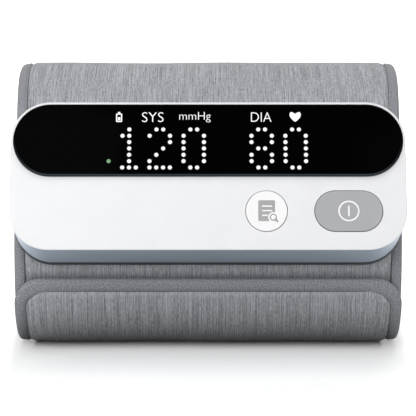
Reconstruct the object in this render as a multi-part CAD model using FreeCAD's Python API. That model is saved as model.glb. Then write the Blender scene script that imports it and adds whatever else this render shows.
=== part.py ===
import FreeCAD, Part
import math
import os
from FreeCAD import Placement, Rotation, Vector

os.makedirs("parts", exist_ok=True)

# Upper-arm blood pressure monitor: a display unit fastened to the front of a cuff whose strip is closed into
# a loop. +X runs along the loop's axis, -Y is the front, +Z is up. The loop stands on its flat underside.

# ------------------------------------------------------------------ driving dimensions, mm and degrees
# cuff strip, from its outside inwards
cuff_margin = 0.35        # of the strip beyond each end of the unit
cover_thickness = 1.0
shell_thickness = 1.2
bladder_thickness = 0.9
lining_thickness = 0.8
layer_gap = 0.1
wrap_gap = 0.3            # between the two turns of the strip where they overlap
over = 1.0                # how far a cutting solid runs past what it cuts
tiny = 1e-6               # lengths below this are none

# loop section
corner_radius = 31.0      # outer turn, at the lower front
front_rise = 1.0          # upright stretch between the lower front corner and the unit's arc
unit_arc_radius = 80.0    # flatter stretch that carries the display unit
top_arc_radius = 60.0
back_arc_radius = 44.0
unit_arc_end = 46.0       # elevation of the surface normal where the top arc takes over
base_length = 82.0        # flat underside, from the front corner's arc to the back arc
tail_length = 46.0        # inner end of the strip, lying on the flat underside
flap_hinge_angle = -62.0  # elevation of the surface normal where the flap starts to lift
flap_rise = 1.0           # upright end of the flap, above the corner

# cuff trim
binding_width = 4.2
flap_corner = 9.5
hook_thickness = 0.9
hook_inset = 3.0
hinge_gap = 0.2
shell_inset = 1.5         # from the binding to the shell's side edge
bladder_inset = 14.0      # from the binding to the bladder's side edge
bladder_start_margin = 12.0
bladder_length = 250.0
shell_start_margin = 30.0
shell_end_margin = 20.0

# display unit
unit_width = 148.3
unit_height = 57.0
unit_corner = 14.8
unit_tilt = 24.0          # elevation of the face's normal
plate_thickness = 2.2
plate_round = 0.5
wall = 2.0
seat_gap = 0.4            # between the unit's hollow back and the cuff
shell_fit = 0.15          # between the two housings' walls
lip_depth = 3.0
lip_thickness = 1.2
clear = 0.6               # free air around the parts inside

# display
lens_margin = 1.05
lens_height = 27.8
lens_rise = 1.0
lens_recess = 1.0
lens_bevel = 0.7
lens_fit = 0.15
led_pitch_x = 2.53
led_pitch_y = 2.41
led_first_x = -32.1
led_top_margin = 9.85     # from the lens's upper edge to the first row
led_rows = 7
led_columns = (0, 1, 2, 4, 5, 6, 7, 9, 10, 11, 12, 19, 20, 21, 22, 24, 25, 26, 27)
status_led_column = -2
status_led_row = 5
led_size = 1.6
led_height = 0.8
mask_depth = 3.0
board_margin = 9.0
led_board_thickness = 1.0
post_diameter = 3.0
pin_diameter = 1.5
pin_fit = 0.1             # all round the pin
pin_reach = 0.5           # beyond the display board
window_margin = 1.2       # from a dot's centre to the edge of its window in the light mask

# buttons
button_height = 15.4
start_width = 25.2
start_side_margin = 9.2
button_spacing = 10.3
button_bottom_margin = 7.1
button_fit = 0.25
button_rise = 0.3
button_round = 0.25
button_travel = 0.4
flange_width = 0.8
flange_thickness = 0.8
flange_gap = 0.05
plunger_diameter = 5.0
plunger_length = 0.6
switch_size = 6.0
switch_height = 3.4
stem_diameter = 3.4
stem_height = 1.0
stem_depth = 1.4
stem_fit = 0.15
stem_end_gap = 0.2

# electronics
pcb_thickness = 1.2
pcb_left_gap = 5.15       # from the air manifold
pcb_right_gap = 1.2       # from the wall's inner face
pcb_corner = 3.0
pcb_overlap = 11.75       # of the main board behind the display board
battery_length = 44.0
battery_width = 27.0
battery_thickness = 6.0
battery_corner = 1.5
battery_offset = 2.0      # towards the pump, from the middle of the main board
pad_thickness = 1.0
pad_inset = 2.0
usb_width = 8.9
usb_height = 3.2
usb_length = 7.2
usb_wall = 0.3
usb_y = 1.5
usb_fit = 0.25
usb_back = 1.0
usb_tongue = 0.7
usb_tongue_side = 1.4
usb_tongue_set_back = 1.2
socket_set_back = 0.3
sensor_size = 7.0
sensor_height = 3.0
sensor_gap = 2.5          # between the sensor and the line of the pump's axis
sensor_port_offset = 3.0  # from the pump's axis to the sensor's spout
connector_offset = 20.0   # from the middle of the display board
connector_length = 14.0
connector_width = 3.0

# air parts
pump_diameter = 15.2
motor_length = 21.0
motor_boss_diameter = 6.0
motor_boss_length = 1.5
head_length = 14.0
nozzle_diameter = 3.0
nozzle_length = 4.0
pump_left_gap = 16.0      # from the unit's left end to the motor
cradle_width = 10.6
cradle_inset = 3.0        # from the pump's ends
manifold_size = 10.0
air_bore = 1.6
valve_length = 17.0
valve_width = 11.0
valve_height = 9.0
valve_pad_inset = 1.0
port_diameter = 5.0
port_bore = 2.6
port_flange = 11.0
port_fit = 0.2
port_insertion = 3.0      # of the tube in the manifold
port_stop = 1.0           # smaller bore beyond the tube's end
seal_width = 2.0

# fasteners
screw_diameter = 2.0
screw_fit = 0.1
screw_clearance = 0.4     # in the housing that the screw passes through
screw_head = 3.8
screw_head_height = 1.3
screw_tip_gap = 1.5       # from the screw's tip to the faceplate
boss_diameter = 5.2
rear_boss_diameter = 6.4
boss_side_inset = 10.5
boss_top_inset = 10.0
boss_split = 12.0         # depth below the face where the two housings' bosses meet
boss_seat = 1.6           # between the bosses' meeting face and the screw's head
mount_side_inset = 8.15   # from the unit's end to the screw
mount_screw_angle = 9.0
mount_screw_length = 6.5
mount_boss_height = 4.0
mount_hole_height = 3.2
mount_head = 4.6
mount_head_height = 0.9
pcb_screw = 1.6
pcb_screw_fit = 0.2
pcb_screw_head = 2.8
pcb_screw_head_height = 0.9
pcb_screw_depth = 3.5     # below the board
pcb_hole_depth = 4.0
pcb_post = 4.0
pcb_post_margin = 0.4     # from the post to the board's edge

# ------------------------------------------------------------------ values worked out from them
strip_thickness = cover_thickness + shell_thickness + bladder_thickness + lining_thickness + 3 * layer_gap
inner_turn = strip_thickness + wrap_gap
shell_depth = cover_thickness + layer_gap
bladder_depth = shell_depth + shell_thickness + layer_gap
lining_depth = bladder_depth + bladder_thickness + layer_gap
cuff_width = unit_width + 2 * cuff_margin
cover_half = cuff_width / 2 - binding_width

# depths below the unit's face
led_board_top = lens_recess + mask_depth + layer_gap
flange_top = plate_thickness + flange_gap
flange_bottom = flange_top + flange_thickness
plunger_end = flange_bottom + plunger_length
switch_top = plunger_end + stem_height
pcb_top = switch_top + switch_height
pcb_bottom = pcb_top + pcb_thickness
battery_top = pcb_bottom + clear
battery_bottom = battery_top + battery_thickness
pump_bottom = plate_thickness + clear + pump_diameter
unit_depth = wall + max(battery_bottom + pad_thickness, pump_bottom + clear)

unit_axis_depth = unit_arc_radius + seat_gap + unit_depth   # from the face to the unit arc's centre
floor_radius = unit_arc_radius + seat_gap + wall            # inner face of the rear housing's curved wall

start_x = unit_width / 2 - start_side_margin - start_width / 2
memory_x = start_x - start_width / 2 - button_spacing - button_height / 2
button_y = -unit_height / 2 + button_bottom_margin + button_height / 2
lens_width = unit_width - 2 * lens_margin
lens_y = unit_height / 2 - lens_margin - lens_height / 2
led_first_y = lens_y + lens_height / 2 - led_top_margin
led_last_x = led_first_x + led_pitch_x * led_columns[-1]
led_last_y = led_first_y - led_pitch_y * (led_rows - 1)
status_led_x = led_first_x + led_pitch_x * status_led_column
status_led_y = led_first_y - led_pitch_y * status_led_row
lip_outer = wall + shell_fit
lip_inner = lip_outer + lip_thickness

led_board_left = status_led_x - board_margin
led_board_right = led_last_x + board_margin
led_board_high = unit_height / 2 - lip_inner - clear
led_board_low = lens_y - lens_height / 2 + clear
window_inset = post_diameter + clear
motor_start = -unit_width / 2 + pump_left_gap
head_start = motor_start + motor_length
head_end = head_start + head_length
manifold_start = head_end + nozzle_length / 2
manifold_end = manifold_start + manifold_size
pcb_left = manifold_end + pcb_left_gap
pcb_right = unit_width / 2 - wall - pcb_right_gap
pcb_low = button_y - switch_size / 2 - clear
pcb_top_edge = led_board_low + pcb_overlap


# ------------------------------------------------------------------ section of the strip
def normal(elevation):
    angle = math.radians(elevation)
    return -math.cos(angle), math.sin(angle)


def arc(centre, radius, start, end):
    return {"centre": centre, "radius": radius, "start": start, "end": end}


def line(first, last, elevation):
    return {"first": first, "last": last, "elevation": elevation}


def length(piece):
    if "centre" in piece:
        return piece["radius"] * math.radians(piece["end"] - piece["start"])
    return math.dist(piece["first"], piece["last"])


def point(piece, share, depth=0.0):
    """A point of the section, as (y, z), at a share of one piece and at a depth below its outer face."""
    if "centre" in piece:
        n = normal(piece["start"] + share * (piece["end"] - piece["start"]))
        radius = piece["radius"] - depth
        return piece["centre"][0] + radius * n[0], piece["centre"][1] + radius * n[1]
    n = normal(piece["elevation"])
    return tuple(a + share * (b - a) - depth * k for a, b, k in zip(piece["first"], piece["last"], n))


def part_of(piece, first, last):
    if "centre" in piece:
        start, span = piece["start"], piece["end"] - piece["start"]
        return arc(piece["centre"], piece["radius"], start + first * span, start + last * span)
    return line(point(piece, first), point(piece, last), piece["elevation"])


def stretch(start, end):
    """The pieces of the strip's section between two distances along its outer face."""
    pieces = []
    reached = 0.0
    for piece in section:
        span = length(piece)
        first = max(start - reached, 0.0) / span
        last = min(end - reached, span) / span
        if last - first > tiny:
            pieces.append(part_of(piece, first, last))
        reached += span
    return pieces


corner_centre = (0.0, corner_radius)
inner_corner_radius = corner_radius - inner_turn


def beyond(centre, radius, next_radius, elevation):
    """Centre of the arc that continues another one at a given elevation."""
    n = normal(elevation)
    return tuple(c + (radius - next_radius) * k for c, k in zip(centre, n))


front_top = (-inner_corner_radius, corner_radius + front_rise)
unit_centre = beyond((0.0, front_top[1]), inner_corner_radius, unit_arc_radius, 0.0)
top_centre = beyond(unit_centre, unit_arc_radius, top_arc_radius, unit_arc_end)
back_centre = (base_length, back_arc_radius)
centre_line = math.degrees(math.atan2(back_centre[1] - top_centre[1], back_centre[0] - top_centre[0]))
centre_distance = math.dist(top_centre, back_centre)
taper = math.degrees(math.acos((top_arc_radius - back_arc_radius) / centre_distance))
slope_start = 180.0 - centre_line - taper

tail = line((tail_length, inner_turn), (0.0, inner_turn), -90.0)
inner_corner = arc(corner_centre, inner_corner_radius, -90.0, 0.0)
front = line((front_top[0], corner_radius), front_top, 0.0)
unit_arc = arc(unit_centre, unit_arc_radius, 0.0, unit_arc_end)
top_arc = arc(top_centre, top_arc_radius, unit_arc_end, slope_start)
back_arc = arc(back_centre, back_arc_radius, slope_start, 270.0)
slope = line(point(top_arc, 1.0), point(back_arc, 0.0), slope_start)
base = line((base_length, 0.0), (0.0, 0.0), -90.0)
outer_corner = arc(corner_centre, corner_radius, 270.0, 360.0)
flap_tip = (-corner_radius, corner_radius + flap_rise)
flap_edge = line((-corner_radius, corner_radius), flap_tip, 0.0)
section = [tail, inner_corner, front, unit_arc, top_arc, slope, back_arc, base, outer_corner, flap_edge]

strip_end = sum(length(piece) for piece in section)
hinge_station = strip_end - flap_rise + corner_radius * math.radians(flap_hinge_angle)
body_end = hinge_station - hinge_gap / 2
flap_start = hinge_station + hinge_gap / 2
unit_arc_station = length(tail) + length(inner_corner) + front_rise


def ribbon(start, end, depth, thickness, x_low, x_high):
    """A curved sheet of the strip, extruded along the loop's axis."""
    pieces = stretch(start, end)

    def at(piece, share, inset):
        y, z = point(piece, share, inset)
        return Vector(x_low, y, z)

    def edge(piece, first, last, inset):
        if "centre" in piece:
            points = [at(piece, share, inset) for share in (first, 0.5, last)]
            return Part.Arc(*points).toShape()
        return Part.makeLine(at(piece, first, inset), at(piece, last, inset))

    inner = depth + thickness
    edges = [edge(piece, 0.0, 1.0, depth) for piece in pieces]
    edges.append(Part.makeLine(at(pieces[-1], 1.0, depth), at(pieces[-1], 1.0, inner)))
    edges += [edge(piece, 1.0, 0.0, inner) for piece in reversed(pieces)]
    edges.append(Part.makeLine(at(pieces[0], 0.0, inner), at(pieces[0], 0.0, depth)))
    return Part.Face(Part.Wire(edges)).extrude(Vector(x_high - x_low, 0, 0))


# ------------------------------------------------------------------ solids in the unit's own frame
# there z is 0 at the face and negative inside, y is up along the face and x is the loop's axis
def rounded_face(width, height, radius, x=0.0, y=0.0, z=0.0):
    w, h = width / 2 - radius, height / 2 - radius
    corners = []
    for sx, sy, start in ((1, -1, 270), (1, 1, 0), (-1, 1, 90), (-1, -1, 180)):
        middle = Vector(x + sx * w, y + sy * h, z)
        turns = [math.radians(start + a) for a in (0, 45, 90)]
        corners.append([middle + Vector(radius * math.cos(t), radius * math.sin(t), 0) for t in turns])
    edges = []
    for corner, following in zip(corners, corners[1:] + corners[:1]):
        edges.append(Part.Arc(*corner).toShape())
        if corner[-1].distanceToPoint(following[0]) > tiny:
            edges.append(Part.makeLine(corner[-1], following[0]))
    return Part.Face(Part.Wire(edges))


def plate(width, height, radius, top, bottom, x=0.0, y=0.0):
    return rounded_face(width, height, radius, x, y, top).extrude(Vector(0, 0, bottom - top))


def pill(width, height, top, bottom, x=0.0, y=0.0):
    return plate(width, height, height / 2, top, bottom, x, y)


def disc(diameter, top, bottom, x=0.0, y=0.0):
    return Part.makeCylinder(diameter / 2, top - bottom, Vector(x, y, bottom))


def block(x_low, x_high, y_low, y_high, bottom, top):
    return Part.makeBox(x_high - x_low, y_high - y_low, top - bottom, Vector(x_low, y_low, bottom))


def rod(diameter, x_low, x_high, y, z):
    return Part.makeCylinder(diameter / 2, x_high - x_low, Vector(x_low, y, z), Vector(1, 0, 0))


def arc_drum(radius):
    """A solid round the unit arc's centre line, for whatever follows the cuff's curve."""
    reach = unit_width / 2 + wall
    return Part.makeCylinder(radius, 2 * reach, Vector(-reach, 0, -unit_axis_depth), Vector(1, 0, 0))


def swung(shape, angle):
    """A copy turned about the unit arc's centre line, so that it stays square to the cuff."""
    turned = shape.copy()
    turned.rotate(Vector(0, 0, -unit_axis_depth), Vector(1, 0, 0), -angle)
    return turned


def radial_disc(diameter, top_radius, bottom_radius, x, angle):
    """A round piece square to the cuff, between two distances from the unit arc's centre line."""
    return swung(disc(diameter, top_radius - unit_axis_depth, bottom_radius - unit_axis_depth, x, 0), angle)


def to_part(shape):
    """From the unit's own frame to the loop's."""
    moved = shape.copy()
    moved.translate(Vector(0, 0, unit_axis_depth))
    moved.rotate(Vector(0, 0, 0), Vector(1, 0, 0), 90.0 - unit_tilt)
    moved.translate(Vector(0, unit_centre[0], unit_centre[1]))
    return moved


# ------------------------------------------------------------------ shared places inside the unit
pump_radius = pump_diameter / 2
pump_y = -(unit_height / 2 - lip_inner - clear - pump_radius)
pump_z = -(plate_thickness + clear + pump_radius)
manifold_top = pump_z + manifold_size / 2
manifold_bottom = pump_z - manifold_size / 2
port_x = (manifold_start + manifold_end) / 2
port_angle = math.degrees(math.asin(pump_y / unit_arc_radius))
port_top = manifold_bottom + port_insertion
valve_y = pump_y + manifold_size / 2 + nozzle_length / 2

battery_x = (pcb_left + pcb_right) / 2 - battery_offset
battery_y = (pcb_low + pcb_top_edge) / 2

side_boss_x = unit_width / 2 - boss_side_inset
top_boss_y = unit_height / 2 - boss_top_inset
spacing_x = (memory_x + button_height / 2 + start_x - start_width / 2) / 2
low_boss_y = -unit_height / 2 + lip_inner + clear + boss_diameter / 2
boss_places = [(-side_boss_x, top_boss_y), (side_boss_x, top_boss_y),
               (-side_boss_x, -top_boss_y), (spacing_x, low_boss_y)]

post_x = (led_board_left + post_diameter / 2, led_board_right - post_diameter / 2)
post_y = (led_board_low + post_diameter / 2, led_board_high - post_diameter / 2)
pcb_post_inset = pcb_post / 2 + pcb_post_margin
sensor_y = pump_y + sensor_size / 2 + sensor_gap
sensor_post_y = sensor_y + sensor_size / 2 + clear + pcb_screw_head / 2
pcb_post_places = [(pcb_left + pcb_post_inset, sensor_post_y),
                   (pcb_left + pcb_post_inset, pcb_top_edge - pcb_post_inset),
                   (pcb_right - pcb_post_inset, pcb_low + pcb_post_inset),
                   (pcb_right - pcb_post_inset, pcb_top_edge - pcb_post_inset)]
mount_screw_x = unit_width / 2 - mount_side_inset
mount_places = [(x, angle) for x in (-mount_screw_x, mount_screw_x)
                for angle in (-mount_screw_angle, mount_screw_angle)]


# ------------------------------------------------------------------ display unit
def front_housing():
    body = plate(unit_width, unit_height, unit_corner, 0, -plate_thickness)
    body = body.makeFillet(plate_round, [e for e in body.Edges if abs(e.CenterOfMass.z) < tiny])
    skirt = plate(unit_width - 2 * lip_outer, unit_height - 2 * lip_outer, unit_corner - lip_outer,
                  -plate_thickness, -plate_thickness - lip_depth)
    skirt = skirt.cut(plate(unit_width - 2 * lip_inner, unit_height - 2 * lip_inner, unit_corner - lip_inner,
                            -plate_thickness, -plate_thickness - lip_depth))
    posts = [disc(post_diameter, -plate_thickness, -led_board_top, x, y) for x in post_x for y in post_y]
    pin_end = -led_board_top - led_board_thickness - pin_reach
    posts += [disc(pin_diameter, -led_board_top, pin_end, x, y) for x in post_x for y in post_y]
    posts += [disc(boss_diameter, -plate_thickness, -boss_split, x, y) for x, y in boss_places]
    body = body.fuse([skirt] + posts)
    recess = pill(lens_width + 2 * lens_fit, lens_height + 2 * lens_fit, over, -lens_recess, 0, lens_y)
    through = -plate_thickness - over
    window = block(led_board_left + window_inset, led_board_right - window_inset,
                   led_board_low + clear, led_board_high - clear, through, over)
    holes = [pill(width + 2 * button_fit, button_height + 2 * button_fit, over, through, x, button_y)
             for width, x in ((button_height, memory_x), (start_width, start_x))]
    holes += [disc(screw_diameter + screw_fit, -plate_thickness, -boss_split - over, x, y)
              for x, y in boss_places]
    notch = socket_prism(usb_fit, unit_width / 2 - lip_inner - clear, unit_width / 2 - wall)
    return body.cut([recess, window, notch] + holes).removeSplitter()


def rear_housing():
    outer = plate(unit_width, unit_height, unit_corner, -plate_thickness, -unit_axis_depth)
    outer = outer.cut(arc_drum(unit_arc_radius + seat_gap))
    inner = plate(unit_width - 2 * wall, unit_height - 2 * wall, unit_corner - wall,
                  -plate_thickness, -unit_axis_depth)
    inner = inner.cut(arc_drum(floor_radius))
    body = outer.cut(inner)
    bosses = [disc(rear_boss_diameter, -boss_split, -unit_axis_depth, x, y) for x, y in boss_places]
    bosses += [disc(pcb_post, -pcb_bottom, -unit_axis_depth, x, y) for x, y in pcb_post_places]
    bosses += [radial_disc(boss_diameter, floor_radius + mount_boss_height, unit_arc_radius, x, angle)
               for x, angle in mount_places]
    body = body.fuse([boss.common(outer) for boss in bosses])
    sinks = []
    for x, y in boss_places:
        sinks.append(disc(screw_diameter + screw_clearance, 0, -unit_axis_depth, x, y))
        sinks.append(disc(screw_head + screw_clearance, -boss_split - boss_seat, -unit_axis_depth, x, y))
    sinks += [disc(pcb_screw + screw_fit, -pcb_bottom + over, -pcb_bottom - pcb_hole_depth, x, y)
              for x, y in pcb_post_places]
    hole_top = floor_radius + mount_hole_height
    sinks += [radial_disc(screw_diameter + screw_fit, hole_top, unit_arc_radius, x, angle)
              for x, angle in mount_places]
    port_hole = port_diameter + 2 * port_fit
    sinks.append(radial_disc(port_hole, floor_radius + over, unit_arc_radius, port_x, port_angle))
    sinks.append(socket_prism(usb_fit, unit_width / 2 - 2 * wall, unit_width / 2 + wall))
    return body.cut(sinks).removeSplitter()


def display_lens():
    body = pill(lens_width, lens_height, lens_rise, -lens_recess, 0, lens_y)
    return body.makeChamfer(lens_bevel, [e for e in body.Edges if abs(e.CenterOfMass.z - lens_rise) < tiny])


def led_places():
    places = [(led_first_x + led_pitch_x * column, led_first_y - led_pitch_y * row)
              for column in led_columns for row in range(led_rows)]
    return places


def led_chip(x, y):
    half = led_size / 2
    return block(x - half, x + half, y - half, y + half, -led_board_top, -led_board_top + led_height)


def light_mask():
    """Dark baffle between the dots and the lens, with a window for each figure and one for the status dot."""
    body = block(led_board_left + window_inset + lens_fit, led_board_right - window_inset - lens_fit,
                 led_board_low + clear + lens_fit, led_board_high - clear - lens_fit,
                 -lens_recess - mask_depth, -lens_recess - layer_gap)
    groups = [[led_columns[0]]]
    for column in led_columns[1:]:
        if column == groups[-1][-1] + 1:
            groups[-1].append(column)
        else:
            groups.append([column])
    windows = []
    for group in groups:
        x_low = led_first_x + led_pitch_x * group[0] - window_margin
        x_high = led_first_x + led_pitch_x * group[-1] + window_margin
        windows.append(block(x_low, x_high, led_last_y - window_margin, led_first_y + window_margin,
                             -led_board_top, 0))
    windows.append(disc(2 * window_margin, 0, -led_board_top, status_led_x, status_led_y))
    return body.cut(windows)


def led_board():
    body = block(led_board_left, led_board_right, led_board_low, led_board_high,
                 -led_board_top - led_board_thickness, -led_board_top)
    through = -led_board_top - led_board_thickness - over
    return body.cut([disc(pin_diameter + 2 * pin_fit, 0, through, x, y) for x in post_x for y in post_y])


# ------------------------------------------------------------------ buttons and switches
def button(width, x):
    """Cap, retaining flange and plunger in one moulding."""
    cap = pill(width, button_height, button_rise, -flange_top, x, button_y)
    cap = cap.makeFillet(button_round, [e for e in cap.Edges if abs(e.CenterOfMass.z - button_rise) < tiny])
    flange = pill(width + 2 * flange_width, button_height + 2 * flange_width,
                  -flange_top, -flange_bottom, x, button_y)
    plunger = disc(plunger_diameter, -flange_bottom, -plunger_end, x, button_y)
    return cap.fuse([flange, plunger]).removeSplitter()


def switch(x):
    half = switch_size / 2
    body = block(x - half, x + half, button_y - half, button_y + half, -pcb_top, -switch_top)
    well = -switch_top - stem_depth - button_travel - stem_end_gap
    return body.cut(disc(stem_diameter + 2 * stem_fit, 0, well, x, button_y))


def switch_stem(x):
    return disc(stem_diameter, -plunger_end, -switch_top - stem_depth, x, button_y)


# ------------------------------------------------------------------ electronics
usb_z = -pcb_top + usb_height / 2


def main_board():
    body = plate(pcb_right - pcb_left, pcb_top_edge - pcb_low, pcb_corner, -pcb_top, -pcb_bottom,
                 (pcb_left + pcb_right) / 2, (pcb_low + pcb_top_edge) / 2)
    cuts = [disc(rear_boss_diameter + 2 * clear, 0, -pcb_bottom - over, x, y) for x, y in boss_places]
    cuts += [disc(pcb_screw + pcb_screw_fit, 0, -pcb_bottom - over, x, y) for x, y in pcb_post_places]
    return body.cut(cuts)


def socket_prism(grow, x_low, x_high):
    """The socket's rounded outline, run along the unit's length."""
    prism = pill(usb_width + 2 * grow, usb_height + 2 * grow, x_high - x_low, 0)
    turn = Rotation(Vector(0, 1, 0), Vector(0, 0, 1), Vector(1, 0, 0), "ZXY")
    prism.Placement = Placement(Vector(x_low, usb_y, usb_z), turn)
    return prism


def charging_socket():
    end = unit_width / 2 - socket_set_back
    start = end - usb_length
    mouth = socket_prism(-usb_wall, start + usb_back, end + over)
    half = usb_width / 2 - usb_tongue_side
    tongue = block(start + usb_back, end - usb_tongue_set_back, usb_y - half, usb_y + half,
                   usb_z - usb_tongue / 2, usb_z + usb_tongue / 2)
    return socket_prism(0, start, end).cut(mouth).fuse(tongue)


def battery():
    return plate(battery_length, battery_width, battery_corner, -battery_top, -battery_bottom,
                 battery_x, battery_y)


def battery_pad():
    body = plate(battery_length - 2 * pad_inset, battery_width - 2 * pad_inset, battery_corner,
                 -battery_bottom, -unit_axis_depth, battery_x, battery_y)
    return body.cut(arc_drum(floor_radius))


def board_connector():
    x = (led_board_left + led_board_right) / 2 + connector_offset
    y = pcb_top_edge - connector_width
    top = -led_board_top - led_board_thickness
    return block(x, x + connector_length, y - connector_width / 2, y + connector_width / 2, -pcb_top, top)


def pressure_sensor():
    x = pcb_left + clear
    body = block(x, x + sensor_size, sensor_y - sensor_size / 2, sensor_y + sensor_size / 2,
                 -pcb_top, -pcb_top + sensor_height)
    spout = rod(nozzle_diameter, manifold_end, x, sensor_port_y, sensor_port_z)
    return body.fuse(spout)


# ------------------------------------------------------------------ air parts
sensor_port_y = pump_y + sensor_port_offset
sensor_port_z = -pcb_top + sensor_height / 2


def pump_motor():
    can = rod(pump_diameter, motor_start, head_start, pump_y, pump_z)
    return can.fuse(rod(motor_boss_diameter, motor_start - motor_boss_length, motor_start, pump_y, pump_z))


def pump_head():
    body = rod(pump_diameter, head_start, head_end, pump_y, pump_z)
    return body.fuse(rod(nozzle_diameter, head_end, head_end + nozzle_length, pump_y, pump_z))


def pump_cradle():
    """Foam saddle under the pump, on the rear housing's floor."""
    x_low = motor_start + cradle_inset
    x_high = head_end - cradle_inset
    half = cradle_width / 2
    body = block(x_low, x_high, pump_y - half, pump_y + half, -unit_axis_depth, pump_z)
    return body.cut([arc_drum(floor_radius), rod(pump_diameter, x_low - over, x_high + over, pump_y, pump_z)])


def manifold():
    half = manifold_size / 2
    body = block(manifold_start, manifold_end, pump_y - half, pump_y + half, manifold_bottom,
                 max(manifold_top, sensor_port_z + nozzle_diameter))
    valve_way = Part.makeCylinder(air_bore / 2, half + over, Vector(port_x, pump_y, pump_z), Vector(0, 1, 0))
    holes = [rod(nozzle_diameter, manifold_start - over, head_end + nozzle_length, pump_y, pump_z),
             rod(air_bore, head_end + nozzle_length, port_x, pump_y, pump_z),
             rod(air_bore, port_x, manifold_end + over, sensor_port_y, sensor_port_z),
             disc(air_bore, sensor_port_z, pump_z, port_x, sensor_port_y),
             valve_way,
             radial_disc(port_diameter, unit_axis_depth + port_top, unit_arc_radius, port_x, port_angle),
             disc(air_bore, pump_z, port_top - port_stop, port_x, pump_y)]
    return body.cut(holes)


def exhaust_valve():
    half = valve_width / 2
    body = block(port_x - half, port_x + half, valve_y, valve_y + valve_length,
                 pump_z - valve_height / 2, pump_z + valve_height / 2)
    foot = Vector(port_x, valve_y - nozzle_length / 2, pump_z)
    return body.fuse(Part.makeCylinder(nozzle_diameter / 2, nozzle_length / 2, foot, Vector(0, 1, 0)))


def valve_pad():
    half = valve_width / 2 - valve_pad_inset
    y_low = valve_y + valve_pad_inset
    y_high = valve_y + valve_length - valve_pad_inset
    body = block(port_x - half, port_x + half, y_low, y_high, -unit_axis_depth, pump_z - valve_height / 2)
    return body.cut(arc_drum(floor_radius))


def bladder_port():
    """Tube from the bladder into the manifold, with a flange welded into the bladder's outer film."""
    outer = unit_arc_radius - bladder_depth
    tube_top = unit_axis_depth + port_top
    flange = radial_disc(port_flange, outer + over, outer - 2 * bladder_thickness, port_x, port_angle)
    flange = flange.common(arc_drum(outer)).cut(arc_drum(outer - bladder_thickness))
    tube = radial_disc(port_diameter, tube_top, outer - bladder_thickness / 2, port_x, port_angle)
    bore = radial_disc(port_bore, tube_top + over, outer - bladder_thickness - over, port_x, port_angle)
    return tube.fuse(flange).cut(bore)


def port_seal():
    """Rubber ring between the cuff and the unit's back, round the air port."""
    ring = radial_disc(port_diameter + 2 * seal_width, unit_arc_radius + seat_gap, unit_arc_radius - over,
                       port_x, port_angle)
    ring = ring.common(arc_drum(unit_arc_radius + seat_gap)).cut(arc_drum(unit_arc_radius))
    return ring.cut(radial_disc(port_diameter, 2 * unit_arc_radius, 0, port_x, port_angle))


# ------------------------------------------------------------------ fasteners
def housing_screws():
    """Driven towards the face from the housing's back, each with its head in its boss."""
    seat = -boss_split - boss_seat
    tip = -plate_thickness - screw_tip_gap
    return [disc(screw_diameter, tip, seat, x, y).fuse(disc(screw_head, seat, seat - screw_head_height, x, y))
            for x, y in boss_places]


def board_screws():
    head_top = -pcb_top + pcb_screw_head_height
    tip = -pcb_bottom - pcb_screw_depth
    return [disc(pcb_screw, -pcb_top, tip, x, y).fuse(disc(pcb_screw_head, head_top, -pcb_top, x, y))
            for x, y in pcb_post_places]


def mounting_screws():
    """Four screws from inside the cuff, through shell and cover, into the unit's back."""
    seat = unit_arc_radius - shell_depth - shell_thickness - layer_gap / 2
    solids = []
    for x, angle in mount_places:
        head = radial_disc(mount_head, seat, seat - mount_head_height, x, angle)
        shank = radial_disc(screw_diameter, seat + mount_screw_length, seat, x, angle)
        solids.append(shank.fuse(head))
    return solids


# ------------------------------------------------------------------ cuff
def unit_holes(clearance):
    """What the cover and shell are pierced for: the air port and the four mounting screws."""
    top = unit_arc_radius + over
    bottom = unit_arc_radius - strip_thickness
    cuts = [radial_disc(port_diameter + clearance, top, bottom, port_x, port_angle)]
    cuts += [radial_disc(screw_diameter + clearance, top, bottom, x, angle) for x, angle in mount_places]
    return [to_part(cut) for cut in cuts]


def cuff_cover():
    body = ribbon(binding_width, body_end, 0, cover_thickness, -cover_half, cover_half)
    return body.cut(unit_holes(2 * port_fit))


def cuff_shell():
    half = cover_half - shell_inset
    end = hinge_station - shell_end_margin
    body = ribbon(shell_start_margin, end, shell_depth, shell_thickness, -half, half)
    return body.cut(unit_holes(2 * port_fit))


def cuff_bladder():
    half = cover_half - bladder_inset
    start = unit_arc_station - bladder_start_margin
    body = ribbon(start, start + bladder_length, bladder_depth, bladder_thickness, -half, half)
    top = unit_arc_radius
    return body.cut(to_part(radial_disc(port_flange, top, top - 2 * strip_thickness, port_x, port_angle)))


def cuff_lining():
    return ribbon(binding_width, body_end, lining_depth, lining_thickness, -cover_half, cover_half)


def edge_binding(side):
    x = sorted((side * cover_half, side * cuff_width / 2))
    return ribbon(0, body_end, 0, strip_thickness, x[0], x[1])


def tail_binding():
    return ribbon(0, binding_width, 0, strip_thickness, -cover_half, cover_half)


# ------------------------------------------------------------------ closing flap
flap_middle = flap_hinge_angle / 2


def flap_outline(inset):
    """A prism square to the flap's middle, with the flap's rounded corners; it cuts the flap's outline."""
    radius = flap_corner - inset
    middle = math.radians(flap_middle)
    rise = flap_rise * math.cos(middle) - corner_radius * math.sin(middle) - inset
    reach = 3 * corner_radius
    face = rounded_face(cuff_width - 2 * inset, rise + reach, radius, 0, (rise - reach) / 2, 0)
    prism = face.extrude(Vector(0, 0, 2 * corner_radius))
    prism.rotate(Vector(0, 0, 0), Vector(1, 0, 0), 90.0 - flap_middle)
    prism.translate(Vector(0, corner_centre[0], corner_centre[1]))
    return prism


def flap_layer(depth, thickness):
    half = cuff_width / 2
    return ribbon(flap_start, strip_end, depth, thickness, -half, half)


def flap_panel():
    return flap_layer(0, strip_thickness - hook_thickness).common(flap_outline(binding_width))


def flap_binding():
    return flap_layer(0, strip_thickness).common(flap_outline(0)).cut(flap_outline(binding_width))


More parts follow.
